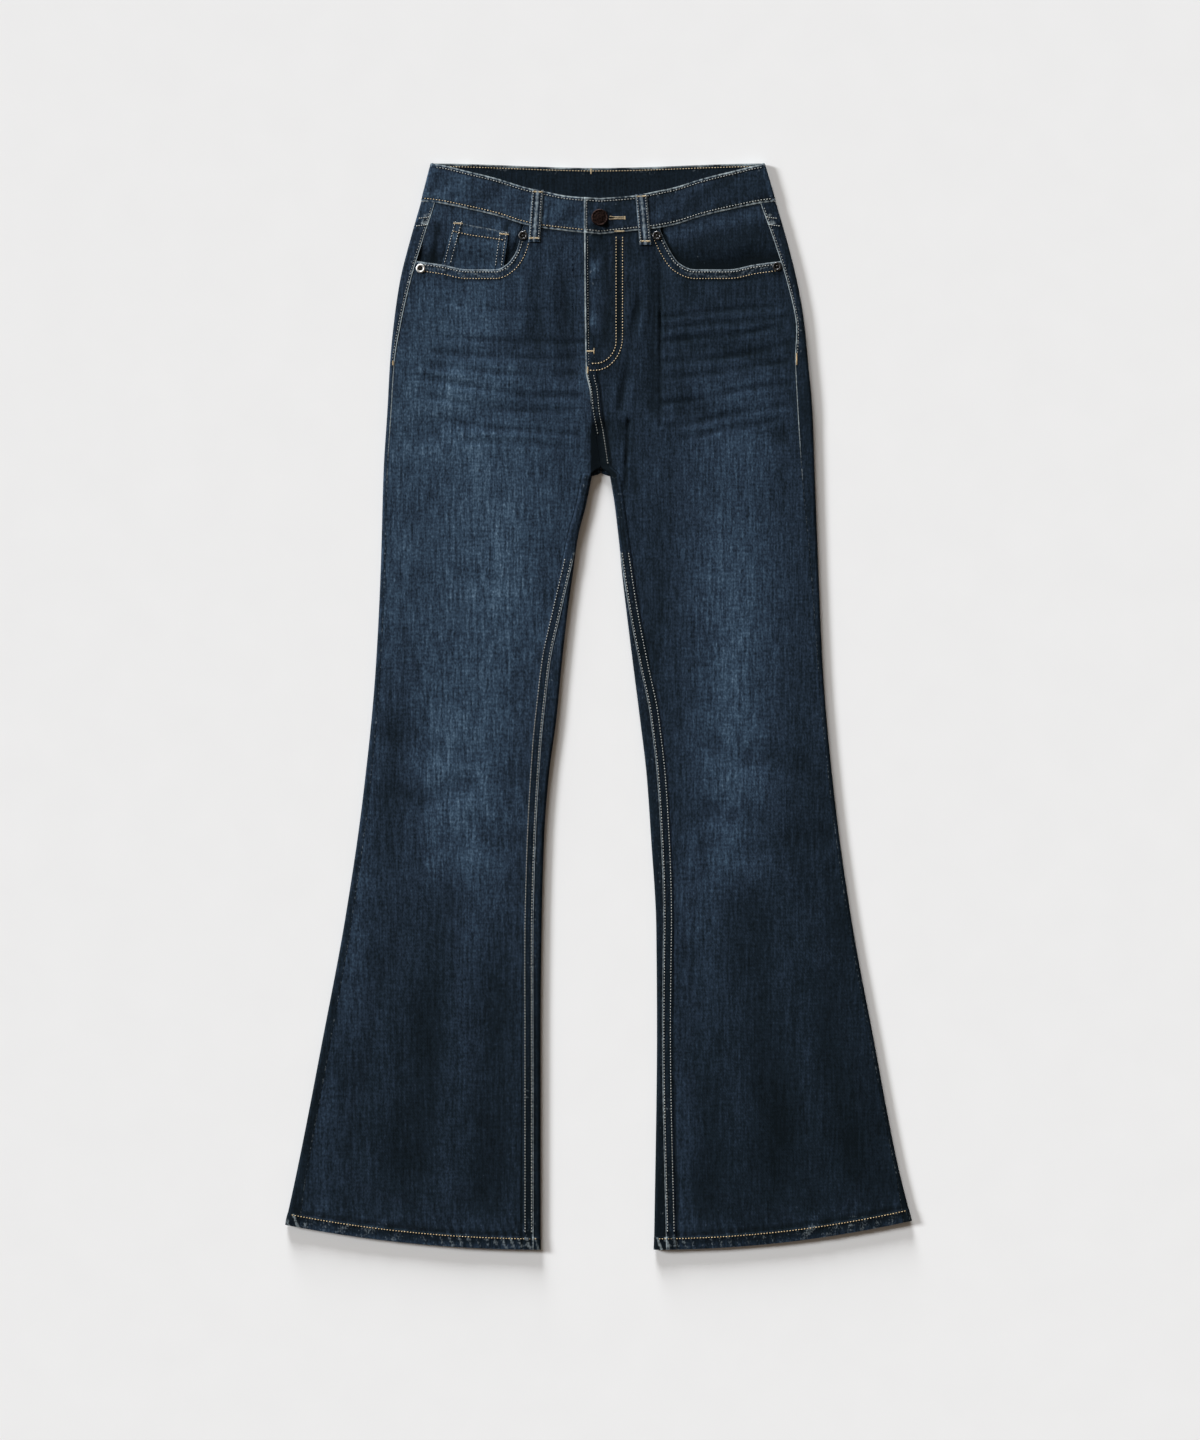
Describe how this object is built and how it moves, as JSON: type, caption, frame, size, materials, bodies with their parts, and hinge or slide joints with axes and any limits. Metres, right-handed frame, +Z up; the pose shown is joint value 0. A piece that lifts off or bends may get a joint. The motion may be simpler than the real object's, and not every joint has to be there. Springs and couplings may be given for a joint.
{
  "type": "bootcut jeans, laid flat",
  "caption": "Dark indigo bootcut jeans lying flat with the front up, with curved hip pockets, a coin pocket, belt loops, a fastened fly and flared legs.",
  "frame": {"origin": "centre of the bounding box on the surface that the jeans lie on", "axes": "+Y towards the waistband along the legs, +Z up out of the front, +X to the wearer's left"},
  "size_m": [0.6147, 1.065, 0.0127],
  "materials": {
    "denim_front": "matte",
    "denim_back": "matte",
    "denim_band": "matte",
    "button_metal": "satin",
    "rivet_metal": "satin"
  },
  "bodies": {
    "root": {"front_right": "denim_front", "front_left": "denim_front", "pocket_facing_right": "denim_front", "pocket_facing_left": "denim_front", "coin_pocket": "denim_front", "back_right": "denim_back", "back_left": "denim_back", "yoke_right": "denim_back", "yoke_left": "denim_back", "back_pocket_right": "denim_back", "back_pocket_left": "denim_back", "waistband": "denim_band", "belt_loop_front_right": "denim_band", "belt_loop_front_left": "denim_band", "belt_loop_back_right": "denim_band", "belt_loop_back_middle": "denim_band", "belt_loop_back_left": "denim_band", "button": "button_metal", "rivet_right_outer": "rivet_metal", "rivet_right_inner": "rivet_metal", "rivet_left_inner": "rivet_metal", "rivet_left_outer": "rivet_metal"}
  },
  "joints": []
}
